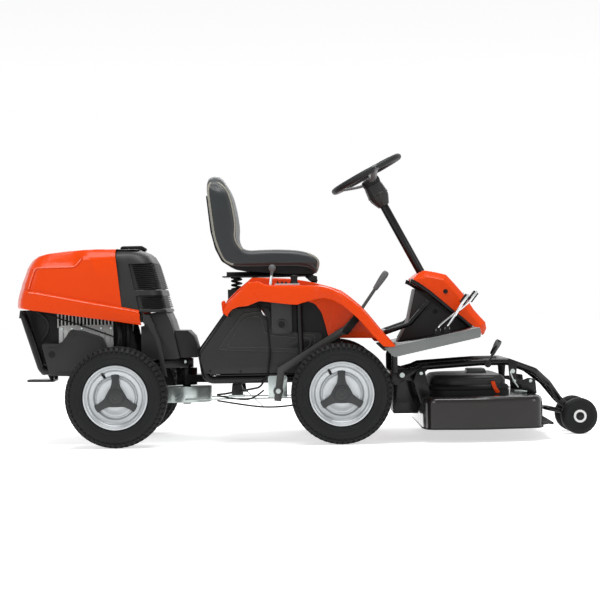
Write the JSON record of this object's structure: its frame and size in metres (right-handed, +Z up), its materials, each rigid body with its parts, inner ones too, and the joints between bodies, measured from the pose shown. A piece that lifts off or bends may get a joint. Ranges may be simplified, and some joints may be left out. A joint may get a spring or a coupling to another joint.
{
  "type": "articulated front-deck riding mower",
  "caption": "Ride-on mower with a rear engine under a tilting hood, a central articulation pin, an open seat, a column steering wheel and a cutting deck carried ahead of the front wheels.",
  "frame": {"origin": "on the ground, at the middle of the overall length and width", "axes": "+X forward, +Y to the driver's left, +Z up"},
  "size_m": [2.146, 0.894, 1.0571],
  "materials": {
    "tyre_rubber": "matt tread",
    "rim_silver": "silver paint",
    "black_steel": "satin black powder coat",
    "dark_grey_plastic": "fine grain",
    "orange_plastic": "gloss orange",
    "black_plastic": "fine grain",
    "white_plastic": "translucent natural",
    "zinc_steel": "zinc plate",
    "vinyl": "grained vinyl",
    "cast_aluminium": "as cast",
    "muffler_steel": "heat-dulled",
    "deck_steel": "gloss graphite",
    "wheel_rubber": "moulded rubber",
    "cable_rubber": "black sheath"
  },
  "bodies": {
    "front_chassis": {"frame_rails": "black_steel", "rear_crossmember": "black_steel", "front_axle": "black_steel", "front_crossmember": "black_steel", "seat_tower": "black_steel", "side_panels": "dark_grey_plastic", "battery": "black_plastic", "fuel_tank": "white_plastic", "body_cover": "orange_plastic", "fenders": "orange_plastic", "footplate": "dark_grey_plastic", "footplate_trims": "black_plastic", "cowl": "orange_plastic", "tunnel": "dark_grey_plastic", "foot_tubes": "black_steel", "steering_column": "black_steel", "steering_wire": "zinc_steel", "control_cable": "cable_rubber"},
    "rear_chassis": {"rear_frame": "black_steel", "steering_drum": "zinc_steel", "tow_plate": "black_steel", "transaxle": "cast_aluminium", "engine_block": "cast_aluminium", "engine_shroud": "black_plastic", "muffler": "muffler_steel", "air_cleaner": "black_plastic", "fairing": "dark_grey_plastic"},
    "hood": {"hood_shell": "orange_plastic", "hood_grille": "dark_grey_plastic", "hood_latch": "black_plastic"},
    "seat_carrier": {"seat_base": "black_steel", "seat_springs": "zinc_steel"},
    "seat": {"seat_pan": "black_plastic", "seat_cushion": "vinyl", "seat_back": "vinyl"},
    "steering": {"steering_wheel": "black_plastic"},
    "lift": {"lift_lever": "black_steel", "lift_grip": "black_plastic"},
    "deck_carrier": {"deck_frame": "black_steel"},
    "deck": {"deck_shell": "deck_steel", "belt_cover": "dark_grey_plastic"},
    "height_control": {"height_lever": "black_steel"},
    "blade_right": {"blade_right": "black_steel"},
    "blade_left": {"blade_left": "black_steel"},
    "support_wheel_right": {"support_wheel_right": "wheel_rubber"},
    "support_wheel_left": {"support_wheel_left": "wheel_rubber"},
    "pedal_forward": {"pedal_forward": "zinc_steel"},
    "pedal_reverse": {"pedal_reverse": "zinc_steel"},
    "pedal_brake": {"pedal_brake": "zinc_steel"},
    "throttle": {"throttle_lever": "black_plastic"},
    "pto": {"pto_knob": "black_plastic"},
    "fuel_cap": {"fuel_cap": "black_plastic"},
    "wheel_front_right": {"tyre_front_right": "tyre_rubber", "rim_front_right": "rim_silver"},
    "wheel_front_left": {"tyre_front_left": "tyre_rubber", "rim_front_left": "rim_silver"},
    "wheel_rear_right": {"tyre_rear_right": "tyre_rubber", "rim_rear_right": "rim_silver"},
    "wheel_rear_left": {"tyre_rear_left": "tyre_rubber", "rim_rear_left": "rim_silver"}
  },
  "joints": [
    {"name": "articulation", "type": "hinge", "parent": "front_chassis", "child": "rear_chassis", "pos_m": [-0.45, 0, 0.235], "axis": [0, 0, 1], "range_deg": [-30, 30]},
    {"name": "steering", "type": "hinge", "parent": "front_chassis", "child": "steering", "pos_m": [0.23729, 0, 0.98096], "axis": [-0.4695, 0, 0.8829], "range_deg": [-122, 122]},
    {"name": "hood_tilt", "type": "hinge", "parent": "rear_chassis", "child": "hood", "pos_m": [-1.035, 0, 0.482], "axis": [0, -1, 0], "range_deg": [0, 75]},
    {"name": "front_right_roll", "type": "hinge", "parent": "front_chassis", "child": "wheel_front_right", "pos_m": [0.122, -0.352, 0.18], "axis": [0, 1, 0], "continuous": true},
    {"name": "front_left_roll", "type": "hinge", "parent": "front_chassis", "child": "wheel_front_left", "pos_m": [0.122, 0.352, 0.18], "axis": [0, 1, 0], "continuous": true},
    {"name": "rear_right_roll", "type": "hinge", "parent": "rear_chassis", "child": "wheel_rear_right", "pos_m": [-0.679, -0.352, 0.18], "axis": [0, 1, 0], "continuous": true},
    {"name": "rear_left_roll", "type": "hinge", "parent": "rear_chassis", "child": "wheel_rear_left", "pos_m": [-0.679, 0.352, 0.18], "axis": [0, 1, 0], "continuous": true},
    {"name": "seat_tip", "type": "hinge", "parent": "front_chassis", "child": "seat_carrier", "pos_m": [0.036, 0, 0.59], "axis": [0, 1, 0], "range_deg": [0, 45]},
    {"name": "seat_slide", "type": "slide", "parent": "seat_carrier", "child": "seat", "axis": [1, 0, 0], "range_m": [-0.04, 0.06]},
    {"name": "deck_lift", "type": "hinge", "parent": "front_chassis", "child": "deck_carrier", "pos_m": [0.347, 0, 0.234], "axis": [0, -1, 0], "range_deg": [0, 11]},
    {"name": "lift_pull", "type": "hinge", "parent": "front_chassis", "child": "lift", "pos_m": [-0.104, -0.256, 0.186], "axis": [0, -1, 0], "range_deg": [0, 27.5]},
    {"name": "deck_height", "type": "slide", "parent": "deck_carrier", "child": "deck", "axis": [0, 0, 1], "range_m": [-0.02, 0.02]},
    {"name": "height_set", "type": "hinge", "parent": "deck_carrier", "child": "height_control", "pos_m": [0.66, -0.205, 0.268], "axis": [0, 1, 0], "range_deg": [-20.5, 20.5]},
    {"name": "blade_right_spin", "type": "hinge", "parent": "deck", "child": "blade_right", "pos_m": [0.627, -0.211, 0.12], "axis": [0, 0, 1], "continuous": true},
    {"name": "blade_left_spin", "type": "hinge", "parent": "deck", "child": "blade_left", "pos_m": [0.627, 0.211, 0.12], "axis": [0, 0, 1], "continuous": true},
    {"name": "support_right_roll", "type": "hinge", "parent": "deck_carrier", "child": "support_wheel_right", "pos_m": [1.006, -0.086, 0.067], "axis": [0, 1, 0], "continuous": true},
    {"name": "support_left_roll", "type": "hinge", "parent": "deck_carrier", "child": "support_wheel_left", "pos_m": [1.006, 0.086, 0.067], "axis": [0, 1, 0], "continuous": true},
    {"name": "forward_press", "type": "hinge", "parent": "front_chassis", "child": "pedal_forward", "pos_m": [0.479, -0.232, 0.39477], "axis": [0, 1, 0], "range_deg": [-6, 14], "stiffness_Nm_per_rad": 6},
    {"name": "reverse_press", "type": "hinge", "parent": "front_chassis", "child": "pedal_reverse", "pos_m": [0.509, -0.272, 0.40077], "axis": [0, 1, 0], "range_deg": [-14, 6]},
    {"name": "brake_press", "type": "hinge", "parent": "front_chassis", "child": "pedal_brake", "pos_m": [0.479, 0.236, 0.39477], "axis": [0, 1, 0], "range_deg": [0, 18], "stiffness_Nm_per_rad": 8, "springref_deg": -5.73},
    {"name": "throttle_swing", "type": "hinge", "parent": "front_chassis", "child": "throttle", "pos_m": [-0.126, -0.285, 0.554], "axis": [0, 1, 0], "range_deg": [-18, 18]},
    {"name": "pto_turn", "type": "hinge", "parent": "front_chassis", "child": "pto", "pos_m": [-0.04, -0.285, 0.57], "axis": [0, 0, 1], "range_deg": [0, 90]},
    {"name": "fuel_cap_turn", "type": "hinge", "parent": "front_chassis", "child": "fuel_cap", "pos_m": [-0.176, 0.16, 0.492], "axis": [0, 0, 1], "range_deg": [0, 90]}
  ],
  "couplings": [
    {"joint": "steering", "follows": "articulation", "ratio": -4},
    {"joint": "lift_pull", "follows": "deck_lift", "ratio": 2.45},
    {"joint": "height_set", "follows": "deck_height", "rad_per_m": 17.5},
    {"joint": "blade_left_spin", "follows": "blade_right_spin", "ratio": 1},
    {"joint": "reverse_press", "follows": "forward_press", "ratio": -1}
  ]
}
